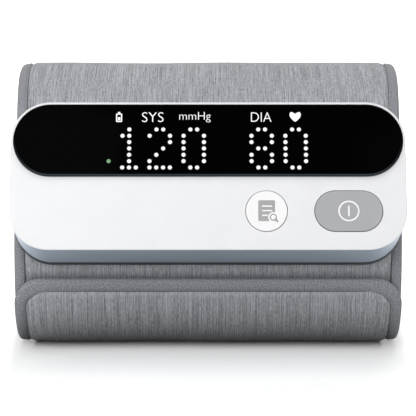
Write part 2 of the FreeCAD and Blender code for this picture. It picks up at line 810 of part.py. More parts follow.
def flap_hooks():
    """Hook tape on the flap's inner face; it grips the cover's knitted outside."""
    body = flap_layer(strip_thickness - hook_thickness, hook_thickness)
    return body.common(flap_outline(binding_width + hook_inset))


# ------------------------------------------------------------------ assembly
unit_nodes = {
    "front_housing": [front_housing()],
    "rear_housing": [rear_housing()],
    "display_lens": [display_lens()],
    "light_mask": [light_mask()],
    "led_board": [led_board()],
    "display_leds": [led_chip(x, y) for x, y in led_places()],
    "status_led": [led_chip(status_led_x, status_led_y)],
    "memory_button": [button(button_height, memory_x)],
    "start_stop_button": [button(start_width, start_x)],
    "memory_switch_stem": [switch_stem(memory_x)],
    "start_stop_switch_stem": [switch_stem(start_x)],
    "button_switches": [switch(memory_x), switch(start_x)],
    "main_board": [main_board()],
    "board_connector": [board_connector()],
    "charging_socket": [charging_socket()],
    "battery": [battery()],
    "battery_pad": [battery_pad()],
    "pressure_sensor": [pressure_sensor()],
    "pump_motor": [pump_motor()],
    "pump_head": [pump_head()],
    "pump_cradle": [pump_cradle()],
    "air_manifold": [manifold()],
    "exhaust_valve": [exhaust_valve()],
    "valve_pad": [valve_pad()],
    "bladder_port": [bladder_port()],
    "port_seal": [port_seal()],
    "housing_screws": housing_screws(),
    "board_screws": board_screws(),
    "mounting_screws": mounting_screws(),
}
cuff_nodes = {
    "cuff_cover": [cuff_cover()],
    "cuff_shell": [cuff_shell()],
    "cuff_bladder": [cuff_bladder()],
    "cuff_lining": [cuff_lining()],
    "left_edge_binding": [edge_binding(-1)],
    "right_edge_binding": [edge_binding(1)],
    "tail_binding": [tail_binding()],
    "flap_panel": [flap_panel()],
    "flap_binding": [flap_binding()],
    "flap_hooks": [flap_hooks()],
}

nodes = {name: [to_part(solid) for solid in solids] for name, solids in unit_nodes.items()}
nodes.update(cuff_nodes)
shapes = {name: solids[0] if len(solids) == 1 else Part.makeCompound(solids)
          for name, solids in nodes.items()}

# the origin is the middle of the underside of the whole part's box
whole = Part.makeCompound(list(shapes.values())).optimalBoundingBox()
shift = Vector(-(whole.XMin + whole.XMax) / 2, -(whole.YMin + whole.YMax) / 2, -whole.ZMin)
for name, shape in shapes.items():
    shape.translate(shift)
    shape.exportStep(os.path.join("parts", name + ".step"))

hinge_point = point(outer_corner, 1.0 + flap_hinge_angle / 90.0)
print("box", round(whole.XLength, 2), round(whole.YLength, 2), round(whole.ZLength, 2))
print("shift", shift)
print("flap hinge y, z", round(hinge_point[0] + shift.y, 3), round(hinge_point[1] + shift.z, 3))
print("unit arc centre y, z", round(unit_centre[0] + shift.y, 3), round(unit_centre[1] + shift.z, 3))
print("unit depth", round(unit_depth, 2), "face to arc centre", round(unit_axis_depth, 2))
print("strip length", round(strip_end, 1), "thickness", round(strip_thickness, 2))
print("solids", sum(len(solids) for solids in nodes.values()), "nodes", len(nodes))
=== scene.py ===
"""Looks of an all-in-one upper-arm blood pressure monitor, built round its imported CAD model.

The unit's plastic parts stay as the CAD has them. The cuff's cloth, edge tapes and flap are modelled here on
the section of the CAD strip, in millimetres across the strip, along its outer face and below that face."""
import math

import bpy
import numpy as np
from mathutils import Matrix, Vector


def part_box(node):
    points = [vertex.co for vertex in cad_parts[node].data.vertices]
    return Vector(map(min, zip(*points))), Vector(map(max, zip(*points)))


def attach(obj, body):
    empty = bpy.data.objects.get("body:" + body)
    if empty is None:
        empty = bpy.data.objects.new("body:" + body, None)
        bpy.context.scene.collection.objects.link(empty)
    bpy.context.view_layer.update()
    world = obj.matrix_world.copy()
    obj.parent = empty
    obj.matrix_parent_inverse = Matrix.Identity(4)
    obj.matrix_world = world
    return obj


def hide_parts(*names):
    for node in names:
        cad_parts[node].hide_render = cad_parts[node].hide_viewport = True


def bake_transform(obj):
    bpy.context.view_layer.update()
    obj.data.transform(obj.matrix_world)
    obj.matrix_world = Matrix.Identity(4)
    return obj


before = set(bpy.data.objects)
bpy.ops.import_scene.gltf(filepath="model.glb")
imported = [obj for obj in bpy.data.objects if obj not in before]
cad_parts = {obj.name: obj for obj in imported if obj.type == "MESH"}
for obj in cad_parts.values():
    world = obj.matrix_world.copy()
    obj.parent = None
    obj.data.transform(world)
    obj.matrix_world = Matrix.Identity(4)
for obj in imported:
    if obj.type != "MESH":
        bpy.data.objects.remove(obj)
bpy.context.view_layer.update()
MM = 0.001

# -------- the CAD model's own sizes, mm and degrees
CORNER_RADIUS = 31.0      # of the outer turn from the underside to the front
WRAP = 4.5                # from one turn of the strip to the next
FRONT_RISE = 1.0          # straight run below the unit's arc
UNIT_ARC_RADIUS = 80.0
UNIT_ARC_END = 46.0       # elevation of the strip's outward normal at that arc's end
TOP_ARC_RADIUS = 60.0
BACK_ARC_RADIUS = 44.0
BASE_LENGTH = 82.0        # flat on the floor
TAIL_LENGTH = 46.0        # of the inner end, flat on the base
FLAP_RISE = 1.0           # straight run at the flap's end
FLAP_HINGE_ANGLE = -62.0  # elevation of the outward normal at the line the flap turns about
STRIP_HALF = 74.5
STRIP_THICKNESS = 4.2
TAPE_WIDTH = 4.2
UNIT_TILT = 24.0
FACE_DISTANCE = 101.0     # from the unit arc's centre to the unit's face
UNIT_SIZE = (148.3, 57.0)
UNIT_CORNER = 14.8
LENS_SIZE = (146.2, 27.8)
LENS_CENTRE = 13.55       # up the face
LENS_RISE = 1.0
BUTTON_RISE = 0.3
SKIN = 0.30               # depth of the faceplate's white skin

# -------- camera, fitted to the outlines
CAMERA_AIM = Vector((-0.04, -60.5, 57.58)) * MM
CAMERA_ELEVATION = 10.85
CAMERA_DISTANCE = 722.0 * MM
CAMERA_LENS = 162.84
SENSOR_WIDTH = 36.0
VIEW_RANGE = (0.05, 50.0)  # nearest and farthest seen, metres


def ease(value, low, high):
    """0 below low, 1 above high and a smooth rise between."""
    share = min(max((value - low) / (high - low), 0.0), 1.0)
    return share * share * (3.0 - 2.0 * share)


# -------- section of the strip
def normal(elevation):
    """The outward normal in the section, as (y, z)."""
    angle = math.radians(elevation)
    return np.array((-math.cos(angle), math.sin(angle)))


def section_rows(step=0.5):
    """Rows of (station, y, z, elevation of the surface normal) along the strip's outer face."""
    inner_radius = CORNER_RADIUS - WRAP
    unit_centre = np.array((UNIT_ARC_RADIUS - inner_radius, CORNER_RADIUS + FRONT_RISE))
    top_centre = unit_centre + (UNIT_ARC_RADIUS - TOP_ARC_RADIUS) * normal(UNIT_ARC_END)
    span = np.array((BASE_LENGTH, BACK_ARC_RADIUS)) - top_centre
    distance = np.hypot(*span)
    fall = TOP_ARC_RADIUS - BACK_ARC_RADIUS
    slope = 180.0 - math.degrees(math.atan2(span[1], span[0]) + math.acos(fall / distance))
    turns = [(TAIL_LENGTH, 0.0), (inner_radius, 90.0), (FRONT_RISE, 0.0), (UNIT_ARC_RADIUS, UNIT_ARC_END),
             (TOP_ARC_RADIUS, slope - UNIT_ARC_END), (math.sqrt(distance ** 2 - fall ** 2), 0.0),
             (BACK_ARC_RADIUS, 270.0 - slope), (BASE_LENGTH, 0.0), (CORNER_RADIUS, 90.0), (FLAP_RISE, 0.0)]
    rows = [(0.0, TAIL_LENGTH, WRAP, -90.0)]
    for size, turn in turns:
        station, y, z, elevation = rows[-1]
        length = size * math.radians(turn) if turn else size
        centre = np.array((y, z)) - size * normal(elevation)
        forward = np.array((math.sin(math.radians(elevation)), math.cos(math.radians(elevation))))
        count = max(2, math.ceil(length / step))
        for share in np.arange(1, count + 1) / count:
            if turn:
                there = centre + size * normal(elevation + share * turn)
            else:
                there = np.array((y, z)) + share * length * forward
            rows.append((station + share * length, *there, elevation + share * turn))
    return np.array(rows), unit_centre


ROWS, UNIT_CENTRE = section_rows()
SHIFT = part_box("cuff_cover")[1].y / MM - BASE_LENGTH - BACK_ARC_RADIUS  # from the rows' y to the CAD's
STRIP_END = ROWS[-1, 0]
HINGE = STRIP_END - FLAP_RISE + CORNER_RADIUS * math.radians(FLAP_HINGE_ANGLE)
FLARE = 1.8               # of each edge of the cuff at its top
FLARE_RISE = (30.0, 84.0)  # elevations between which the flare grows
FLARE_FALL = (120.0, 200.0)  # and between which it fades
LAP = 12.0                # of the flap's own cloth and tape before the line it turns about
BODY_END = HINGE - LAP
FLAP_SHORT = 0.95         # how far before the strip's end the flap's tape ends
FLAP_END = STRIP_END - FLAP_SHORT


def strip_point(x, station, depth):
    """A point of the CAD frame, in metres, from mm across the strip, along it and below its outer face."""
    y, z, elevation = (np.interp(station, ROWS[:, 0], ROWS[:, k]) for k in (1, 2, 3))
    out = normal(elevation)
    return Vector((x, y + SHIFT - depth * out[0], z - depth * out[1])) * MM


def flare(station):
    """How far the cuff's edges spread where it turns over the top, in mm."""
    elevation = np.interp(station, ROWS[:, 0], ROWS[:, 3])
    return FLARE * ease(elevation, *FLARE_RISE) * (1.0 - ease(elevation, *FLARE_FALL))


def unit_matrix():
    """From the unit's own frame in mm, x across, y up the face and z out of it, to the CAD frame."""
    tilt = math.radians(UNIT_TILT)
    up, out = Vector((0, math.sin(tilt), math.cos(tilt))), Vector((0, -math.cos(tilt), math.sin(tilt)))
    origin = Vector((0, UNIT_CENTRE[0] + SHIFT, UNIT_CENTRE[1])) + FACE_DISTANCE * out
    turn = Matrix((Vector((1, 0, 0)), up, out)).transposed().to_4x4()
    return Matrix.Translation(origin * MM) @ turn @ Matrix.Scale(MM, 4)


UNIT = unit_matrix()
FACE_UP, FACE_OUT = (UNIT.to_3x3().col[k].normalized() for k in (1, 2))


# -------- materials
class Nodes:
    """A node tree; add() makes a node and links or sets its inputs."""

    def __init__(self, tree):
        self.tree = tree

    def set(self, node, values):
        """Sets or links inputs by number or by name, in which _ may stand for a space."""
        for name, value in values.items():
            socket = node.inputs[name if isinstance(name, int) else name.replace("_", " ")]
            if isinstance(value, bpy.types.NodeSocket):
                self.tree.links.new(value, socket)
            elif isinstance(value, tuple) and len(value) == 3 and socket.type == "RGBA":
                socket.default_value = (*value, 1.0)
            else:
                socket.default_value = value

    def add(self, kind, settings=None, **values):
        node = self.tree.nodes.new("ShaderNode" + kind)
        for name, value in (settings or {}).items():
            setattr(node, name, value)
        self.set(node, values)
        return node

    def mix(self, share, first, second, blend="MIX"):
        node = self.add("Mix", {"data_type": "RGBA", "blend_type": blend})
        self.set(node, {0: share, 6: first, 7: second})
        return node.outputs[2]

    def math(self, operation, first, second=0.0, third=0.0, clamp=False):
        node = self.add("Math", {"operation": operation, "use_clamp": clamp})
        self.set(node, {0: first, 1: second, 2: third})
        return node.outputs[0]

    def hypotenuse(self, first, second):
        squares = (self.math("POWER", side, 2.0) for side in (first, second))
        return self.math("SQRT", self.math("ADD", *squares))

    def parts(self, vector):
        return self.add("SeparateXYZ", Vector=vector).outputs

    def reach(self, vector, direction):
        """How far a vector goes along a unit direction."""
        node = self.add("VectorMath", {"operation": "DOT_PRODUCT"})
        self.set(node, {0: vector, 1: direction})
        return node.outputs["Value"]

    def noise(self, place, scale, detail=2.0, roughness=0.5):
        """Noise over a place stretched by scale, which is in cells per unit along each axis."""
        stretched = self.add("VectorMath", {"operation": "MULTIPLY"})
        self.set(stretched, {0: place, 1: scale})
        cells = {"Vector": stretched.outputs[0], "Scale": 1.0, "Detail": detail, "Roughness": roughness}
        return self.add("TexNoise", **cells).outputs["Fac"]

    def ramp(self, value, stops):
        node = self.add("ValToRGB", Fac=value)
        for number, (place, colour) in enumerate(stops):
            stop = node.color_ramp.elements[number] if number < 2 else node.color_ramp.elements.new(place)
            stop.position = place
            stop.color = (*colour, 1.0)
        return node.outputs["Color"]

    def seen(self):
        """1 where a thing is seen, mirrored or looked at through another, and 0 where it lights others."""
        paths = self.add("LightPath").outputs
        others = self.math("MAXIMUM", paths["Is Glossy Ray"], paths["Is Transmission Ray"])
        return self.math("MAXIMUM", paths["Is Camera Ray"], others)


class Finish(Nodes):
    """A node material with one Principled shader."""

    def __init__(self, name, **values):
        self.material = bpy.data.materials.new(name)
        self.material.use_nodes = True
        super().__init__(self.material.node_tree)
        self.shader = self.tree.nodes["Principled BSDF"]
        self.set(self.shader, values)

    def bump(self, height, distance, strength=1.0):
        node = self.add("Bump", Height=height, Distance=distance, Strength=strength)
        self.set(self.shader, {"Normal": node.outputs["Normal"]})

    def object_place(self):
        return self.add("TexCoord").outputs["Object"]

    def strip_place(self):
        """Each point's mm across and along the cloth, or along and across a tape."""
        return self.add("Attribute", {"attribute_name": "strip"}).outputs["Vector"]

    def painted(self):
        """What the shader's colour is linked to so far."""
        return self.shader.inputs["Base Color"].links[0].from_socket

    def paint(self, colour):
        self.set(self.shader, {"Base Color": colour})


def grey(value):
    return (value, value, value)


def tinted(colour, share):
    return tuple(share * c for c in colour)


MOTTLE_TINTS = (0.97, 1.03)  # of a plain surface's colour
MOTTLE_CELLS, GRAIN_CELLS = 90.0, 5200.0  # in a metre
GRAIN_HEIGHT = 0.00002    # metres


def moulded(name, colour, roughness, grain, **values):
    """Moulded plastic or another plain surface: a faint mottle in its colour, and a fine grain."""
    finish = Finish(name, Roughness=roughness, **values)
    place = finish.object_place()
    mottle = finish.noise(place, grey(MOTTLE_CELLS), detail=3.0)
    finish.paint(finish.mix(mottle, *(tinted(colour, tint) for tint in MOTTLE_TINTS)))
    finish.bump(finish.noise(place, grey(GRAIN_CELLS), detail=1.0), GRAIN_HEIGHT * grain)
    return finish


CLOTH_GLOSS = 0.2
# noises of the woven cloth: cells in a mm across and along the strip, detail, share of its colour
YARNS = ((3.0, 0.035, 0.0, 0.27), (3.2, 0.14, 1.0, 0.32), (3.4, 0.6, 1.0, 0.34), (0.35, 0.012, 0.0, 0.07))
YARN_ROUGHNESS = 0.6
YARN_RANGE = (0.38, 0.62)  # of the mixed noises, from the dark yarns to the light ones
YARN_HEIGHT = 0.8         # of the first noise, in heights of the weave
WEAVE_RATES = (15.0, 13.0)  # radians in a mm across and along the strip
WEAVE_SHADE, WEAVE_LIGHT = 0.06, 0.97  # the weave's effect on the colour, and the mean share left
WEAVE_HEIGHT = 0.00006    # metres
RAMP_LENGTH = 100.0       # mm along the strip, in one colour ramp
# painted shade on the cover along the flap's top edge: mm along the strip, and the share of the colour left
FLAP_EDGE_SHADE = ((83.5, 1.0), (85.5, 0.6), (87.5, 0.6), (90.6, 1.0))


def melange(name, dark, light, streak=1.0):
    """Woven cloth of mixed light and dark yarns: streaks along the strip over a fine plain weave, with
    painted shade along the flap's top edge.
    """
    finish = Finish(name, Roughness=0.92, Sheen_Weight=0.14, Sheen_Roughness=0.45,
                    Specular_IOR_Level=CLOTH_GLOSS)
    place = finish.strip_place()
    yarns = [finish.noise(place, (across * streak, along, 0.0), detail, YARN_ROUGHNESS)
             for across, along, detail, _ in YARNS]
    mixed = 0.0
    for yarn, (*_, share) in zip(yarns, YARNS):
        mixed = finish.math("MULTIPLY_ADD", yarn, share, mixed)
    colour = finish.ramp(mixed, zip(YARN_RANGE, (dark, light)))
    across, along = finish.parts(place)[:2]
    # painted shade: darker in a band along the flap's top edge
    pressed = finish.ramp(finish.math("MULTIPLY", along, 1.0 / RAMP_LENGTH),
                          [(station / RAMP_LENGTH, grey(shade)) for station, shade in FLAP_EDGE_SHADE])
    colour = finish.mix(1.0, colour, pressed, "MULTIPLY")
    waves = [finish.math("SINE", finish.math("MULTIPLY", axis, rate))
             for axis, rate in zip((across, along), WEAVE_RATES)]
    weave = finish.math("MULTIPLY", *waves)
    shade = finish.math("MULTIPLY_ADD", weave, WEAVE_SHADE, WEAVE_LIGHT)
    finish.paint(finish.mix(1.0, colour, shade, "MULTIPLY"))
    finish.bump(finish.math("MULTIPLY_ADD", yarns[0], YARN_HEIGHT, weave), WEAVE_HEIGHT, 0.8)
    return finish


RIB_RATE = 5.0            # radians in a mm
RIB_SHADE = 0.035         # beside the fuzz
RIB_HEIGHT = 0.00008      # metres
FUZZ_CELLS = (1.3, 1.9, 0.0)  # in a mm along and across the tape
FUZZ_RANGE = (0.25, 0.75)  # from the dark colour to the light one


def twill(name, dark, light):
    """Edge tape: fine diagonal ribs along its length."""
    finish = Finish(name, Roughness=0.9, Sheen_Weight=0.08, Sheen_Roughness=0.5,
                    Specular_IOR_Level=CLOTH_GLOSS)
    place = finish.strip_place()
    along, across = finish.parts(place)[:2]
    rib = finish.math("SINE", finish.math("MULTIPLY", finish.math("ADD", along, across), RIB_RATE))
    fuzz = finish.noise(place, FUZZ_CELLS, detail=2.0, roughness=0.7)
    height = finish.math("MULTIPLY_ADD", rib, RIB_SHADE, fuzz)
    finish.paint(finish.ramp(height, zip(FUZZ_RANGE, (dark, light))))
    finish.bump(height, RIB_HEIGHT, 0.7)
    return finish


def lower_than(finish, rise):
    """1 below some mm over the unit's face, and 0 above."""
    level = finish.reach(finish.object_place(), FACE_OUT)
    return finish.math("LESS_THAN", level, UNIT.translation.dot(FACE_OUT) + rise * MM)


def two_shot(name, face, side):
    """The faceplate: white skin on its face with a painted shadow just below the lens, and grey moulding
    below the face's rounded edge.
    """
    finish = moulded(name, face, 0.40, 0.25, Coat_Weight=0.08, Coat_Roughness=0.25)
    colour = finish.mix(1.0, finish.painted(), painted_lens_shadow(finish), "MULTIPLY")
    finish.paint(finish.mix(lower_than(finish, -SKIN), colour, side))
    return finish


LENS_SHADOW_DEPTH = 0.42         # painted shadow: share of the face's colour taken right below the lens
LENS_SHADOW_REACH = 0.9    # mm over which the painted shadow fades


def painted_lens_shadow(finish):
    """Painted shadow under the lens: 1 over the face, and a little less just below the lens, by the distance
    from its outline.
    """
    place, radius = finish.object_place(), LENS_SIZE[1] / 2 * MM
    centre = UNIT.translation.dot(FACE_UP) + LENS_CENTRE * MM
    rise = finish.math("SUBTRACT", finish.reach(place, FACE_UP), centre)
    side = finish.math("ABSOLUTE", finish.parts(place)[0])
    past = finish.math("MAXIMUM", finish.math("SUBTRACT", side, LENS_SIZE[0] / 2 * MM - radius))
    away = finish.math("SUBTRACT", finish.hypotenuse(past, rise), radius)
    fade = finish.math("EXPONENT", finish.math("MULTIPLY", away, -1.0 / (LENS_SHADOW_REACH * MM)))
    under = finish.math("MULTIPLY", rise, -1.0 / radius, clamp=True)
    depth = finish.math("MULTIPLY", finish.math("MULTIPLY", fade, under), LENS_SHADOW_DEPTH)
    return finish.math("SUBTRACT", 1.0, depth)


BEVEL = 0.04              # depth of the lens's ground bevel, mm
# painted reflection on the bevel where it faces down the unit
BEVEL_REFLECTION_GREY = (0.040, 0.048, 0.056)
BEVEL_GAIN = 1.3          # how soon the painted reflection is at its palest as the bevel turns down the unit


def painted_bevel_reflection(finish):
    """Painted reflection on the lens's ground bevel: paler where it faces down the unit."""
    facing = finish.reach(finish.add("NewGeometry").outputs["Normal"], FACE_UP)
    down = finish.math("MULTIPLY", facing, -BEVEL_GAIN, clamp=True)
    share = finish.math("MULTIPLY", lower_than(finish, LENS_RISE - BEVEL), down)
    finish.paint(finish.mix(share, finish.painted(), BEVEL_REFLECTION_GREY))


RIM_START = 0.70          # share of a lit dot's radius where it starts to fade
RIM_LIGHT = 0.55          # of its middle's light


def glow(name, colour, strength):
    """A lit dot or sign on the lens, a little weaker towards its rim."""
    finish = Finish(name, Roughness=0.4, Base_Color=grey(0.02))
    rim = finish.add("Attribute", {"attribute_name": "rim"}).outputs["Fac"]
    shade = finish.ramp(rim, [(RIM_START, colour), (1.0, tinted(colour, RIM_LIGHT))])
    finish.set(finish.shader, {"Emission Color": shade, "Emission Strength": strength})
    return finish


def give(obj, finish):
    """The finish in every slot of a piece or CAD node."""
    if not obj.material_slots:
        obj.data.materials.append(finish.material)
    for slot in obj.material_slots:
        slot.material = finish.material


WHITE = (0.80, 0.805, 0.82)
SIDE_GREY = (0.50, 0.595, 0.695)
finishes = {
    "faceplate": two_shot("white_faceplate", WHITE, SIDE_GREY),
    "white": moulded("white_button", (0.90, 0.90, 0.91), 0.3, 0.2, Coat_Weight=0.2),
    "grey": moulded("grey_button", (0.375, 0.38, 0.395), 0.32, 0.3, Coat_Weight=0.15),
    "housing": moulded("housing_grey", SIDE_GREY, 0.50, 1.6, Coat_Weight=0.05, Coat_Roughness=0.3),
    "lens": moulded("black_lens", grey(0.0005), 0.06, 0.0, Specular_IOR_Level=0.006),
    "dark": moulded("dark_plastic", grey(0.03), 0.6, 2.0),
    "pale": moulded("pale_plastic", (0.72, 0.71, 0.68), 0.5, 1.0),
    "board": moulded("circuit_board", (0.02, 0.13, 0.05), 0.35, 1.0),
    "metal": moulded("sheet_metal", grey(0.55), 0.35, 1.0, Metallic=0.9),
    "foil": moulded("cell_foil", (0.62, 0.64, 0.66), 0.35, 1.5, Metallic=0.9),
    "foam": moulded("foam", grey(0.05), 0.95, 14.0),
    "rubber": moulded("soft_rubber", grey(0.045), 0.8, 2.0),
    "film": moulded("bladder_film", (0.42, 0.44, 0.46), 0.45, 1.0),
    "chip": moulded("dot_chip", (0.8, 0.82, 0.85), 0.3, 0.2),
    "cloth": melange("melange_cloth", (0.222, 0.231, 0.250), (0.60, 0.615, 0.65)),
    "lining": melange("lining_cloth", (0.055, 0.06, 0.066), (0.115, 0.12, 0.13), 1.6),
    "tape": twill("edge_tape", (0.143, 0.149, 0.163), (0.425, 0.435, 0.463)),
    "thread": twill("thread", (0.18, 0.188, 0.20), (0.33, 0.34, 0.36)),
    "seam": twill("seam_cord", (0.09, 0.094, 0.10), (0.17, 0.176, 0.187)),
    # dark seal whose colour also paints the shadow line under the unit
    "seal": moulded("soft_seal_and_shadow", (0.035, 0.04, 0.045), 0.6, 2.0),
    "hook": moulded("hook_tape", grey(0.03), 0.7, 6.0),
    "glow": glow("lit_white", (1.0, 1.0, 1.0), 1.0),
    "green": glow("lit_green", (0.17, 0.42, 0.17), 0.8),
    "print_grey": moulded("printed_grey", grey(0.36), 0.45, 0.2),
    "print_white": moulded("printed_white", grey(0.93), 0.4, 0.2),
}
painted_bevel_reflection(finishes["lens"])

# CAD nodes that keep their shape, by finish
CAD_FINISHES = {
    "faceplate": "front_housing",
    "housing": "rear_housing",
    "lens": "display_lens",
    "white": "memory_button",
    "grey": "start_stop_button",
    "dark": "light_mask memory_switch_stem start_stop_switch_stem button_switches board_connector "
            "pressure_sensor cuff_shell",
    "board": "led_board main_board",
    "chip": "display_leds status_led",
    "metal": "charging_socket pump_motor exhaust_valve housing_screws board_screws mounting_screws",
    "foil": "battery",
    "foam": "battery_pad pump_cradle valve_pad",
    "pale": "pump_head",
    "rubber": "air_manifold bladder_port port_seal",
    "film": "cuff_bladder",
    "hook": "flap_hooks",
}
for key, names in CAD_FINISHES.items():
    for node in names.split():
        give(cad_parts[node], finishes[key])


# -------- meshes
def in_scene(name, data):
    obj = bpy.data.objects.new(name, data)
    bpy.context.scene.collection.objects.link(obj)
    return obj


def new_piece(name, points, faces, finish, marks=None, smooth=True):
    """A mesh piece from points in metres. marks is an attribute's name and its value for each point."""
    mesh = bpy.data.meshes.new(name)
    mesh.from_pydata([tuple(p) for p in points], [], faces)
    (mesh.shade_smooth if smooth else mesh.shade_flat)()
    if marks:
        label, values = marks
        kind, channel = ("FLOAT_VECTOR", "vector") if hasattr(values[0], "__len__") else ("FLOAT", "value")
        attribute = mesh.attributes.new(label, kind, "POINT")
        attribute.data.foreach_set(channel, np.array(values, np.float32).ravel())
    mesh.update()
    piece = in_scene(name, mesh)
    give(piece, finishes[finish])
    return piece


def ring_faces(rings, points, joined=False):
    """Faces between closed rings of as many points, with flat ends or the last joined to the first."""
    total = rings * points
    pairs = [(low, (low + points) % total) for low in range(0, total, points)]
    faces = [(low + k, low + (k + 1) % points, high + (k + 1) % points, high + k)
             for low, high in (pairs if joined else pairs[:-1]) for k in range(points)]
    if not joined:
        faces += [tuple(reversed(range(points))), tuple(range(total - points, total))]
    return faces


def shifted(faces, first):
    """The same faces for points that start at first."""
    return [tuple(first + k for k in face) for face in faces]


# -------- cloth of the strip, in mm
SEAM_DEPTH = 0.95         # of the cloth at the tape's edge
SHOULDER = 2.4            # over which the cloth falls to the seam
SHOULDER_POWER = 2.5
HEM = 0.75                # of cloth under the tape, past the seam
CLOTH = 0.8               # its thickness
REST_DEPTH = 0.23         # of the cloth's mean face below the section of the strip
SWELLS = (0.10, 0.08)     # heights of its slow waves
SWELL_SLANT = (0.11, 0.021)  # radians in a mm across and along, of the first
SWELL_WAVE = (0.047, 1.7, 0.06)  # of the second: radians in a mm along, wander, radians in a mm across
TUCK = 0.8                # how far the flap's edge presses the cover in
TUCK_RISE = (80.0, 84.0)  # stations between which the tuck deepens
TUCK_FALL = (90.5, 97.5)  # and between which it ends
TUCK_CALM = 0.8           # share of the slow waves that it presses flat
SEAM = 1.06               # the seam's distance from the strip's edge, in widths of the tape
BODY_TAPE = (3.7, 4.2)    # width of the tape along the sides and across the end
FLAP_TAPE = (4.1, 4.6)
TAIL_CORNERS = ((3.0, 3.0), (1.5, 1.5))  # radii across and along, of the tape's outer and inner edge
FLAP_CORNERS = ((9.7, 11.7), (12.0, 6.8))
BODY_HALF = STRIP_HALF - SEAM * BODY_TAPE[0] + HEM
FLAP_HALF = STRIP_HALF - SEAM * FLAP_TAPE[0] + HEM
BODY_START = SEAM * BODY_TAPE[1] - HEM
FLAP_TOP = FLAP_END - SEAM * FLAP_TAPE[1] + HEM


def wave(x, station, rate, wander, rate_across):
    """A wave along the strip whose crests wander across it."""
    return math.sin(rate * station + wander * math.sin(rate_across * x))


def swell(x, station):
    """Slow unevenness of cloth stretched over the shell."""
    slanted = math.sin(SWELL_SLANT[0] * x + SWELL_SLANT[1] * station)
    return SWELLS[0] * slanted + SWELLS[1] * wave(x, station, *SWELL_WAVE)


def tuck(station):
    """1 where the flap's edge presses the cover in, and 0 away from it."""
    return ease(station, *TUCK_RISE) * (1.0 - ease(station, *TUCK_FALL))


def outer_depth(x, station, edge):
    """Depth of the cover's face at a distance from the cloth's edge."""
    fall = min(max(1.0 - (edge - HEM) / SHOULDER, 0.0), 1.0) ** SHOULDER_POWER
    pressed = tuck(station)
    return REST_DEPTH + swell(x, station) * (1.0 - TUCK_CALM * pressed) + TUCK * pressed + SEAM_DEPTH * fall


CORNER_TURNS = np.radians(np.linspace(0, 90, 14))
COVER_STEP, LINING_STEP, FLAP_STEP = 2.4, 1.6, 1.8
EDGE_PLACES = (0.0, 0.4, 0.75, 1.0, 1.3, 1.7, 2.2, 2.9, 4.0, 6.0, 8.5)  # from the cloth's edge
MIDDLE_PLACES = 38        # from the last of them on one side to the last on the other


def cloth_columns(half):
    """Places across the cloth, closer together at its edges."""
    left = [place - half for place in EDGE_PLACES]
    middle = np.linspace(left[-1], -left[-1], MIDDLE_PLACES)[1:-1]
    return [*left, *middle, *(-x for x in reversed(left))]


def cloth_sheet(name, stations, half_at, face_depth, back_depth, finish):
    """A closed sheet: for each station a ring across its face and back across its reverse."""
    points, marks = [], []
    for station in stations:
        half = half_at(station)
        columns = cloth_columns(half)
        for row, depth in ((columns, face_depth), (columns[::-1], back_depth)):
            for x in row:
                points.append(strip_point(x, station, depth(x, station, half - abs(x))))
                marks.append((x, station, 0.0))
    around = 2 * len(columns)
    return new_piece(name, points, ring_faces(len(stations), around), finish, ("strip", marks))


def body_stations(step):
    """Places along the strip's cloth, the last one at its very end."""
    stations = np.arange(BODY_START, BODY_END, step)
    stations[-1] = BODY_END
    return stations


def body_half(station):
    return BODY_HALF + flare(station)


def body_cover():
    def face(x, station, edge):
        return outer_depth(x, station, min(edge, station - BODY_START))

    return cloth_sheet("cover_cloth", body_stations(COVER_STEP), body_half, face,
                       lambda x, s, e: face(x, s, e) + CLOTH, "cloth")


LINING_LIFT = 0.12        # how far the lining's face stays inside the strip's
LINING_ROUND = 0.75       # how far it falls away at its edges
CREASE = 0.16             # height of its creases where the strip bends most
CREASE_SPAN = 3.0         # each way along the strip, over which the bend is taken
CREASE_BEND = 12.0        # degrees in that span for full creases
CREASE_WAVE = (1.05, 0.9, 0.09)  # as the second slow wave


def body_lining():
    def face(x, station, edge):
        before, after = (np.interp(station + way * CREASE_SPAN, ROWS[:, 0], ROWS[:, 3]) for way in (-1, 1))
        crease = min((after - before) / CREASE_BEND, 1.0) * CREASE * wave(x, station, *CREASE_WAVE)
        near = min(edge, station - BODY_START)
        rounded = LINING_ROUND * (1.0 - ease(near, 0.0, SHOULDER)) ** 2
        return STRIP_THICKNESS - LINING_LIFT + crease - rounded

    return cloth_sheet("lining_cloth", body_stations(LINING_STEP), body_half,
                       lambda x, s, e: face(x, s, e) - CLOTH, face, "lining")


FLAP_PUFF = 1.2           # height of the flap's padded front
PUFF_EDGE = 9.0           # over which it rises from the cloth's edge
FLAP_BACK = 1.15          # from the cloth's back to the flap's inner face
CLOTH_CORNER = tuple(radius + HEM for radius in FLAP_CORNERS[1])


def flap_half(station):
    """Half the width of the flap's cloth, with its two rounded corners."""
    across, along = CLOTH_CORNER
    over = min(max(station - (FLAP_TOP - along), 0.0) / along, 1.0)
    return FLAP_HALF - across + across * math.sqrt(1.0 - over ** 2)


def flap_puff(station, edge):
    """Height of the flap's padded front over its plain section."""
    share = min(max((station - BODY_END) / (FLAP_TOP - BODY_END), 0.0), 1.0)
    return FLAP_PUFF * math.sin(math.pi * share) ** 2 * ease(edge, 0.0, PUFF_EDGE)


def flap_cloth():
    corner = CLOTH_CORNER[1]
    straight = np.arange(BODY_END, FLAP_TOP - corner, FLAP_STEP)
    rounded = FLAP_TOP - corner + corner * np.sin(CORNER_TURNS)
    stations = [*straight, *rounded]

    def face(x, station, edge):
        near = min(edge, FLAP_TOP - station)
        return outer_depth(x, station, near) - flap_puff(station, near)

    return cloth_sheet("flap_cloth", stations, flap_half, face,
                       lambda x, s, e: STRIP_THICKNESS - FLAP_BACK, "cloth")


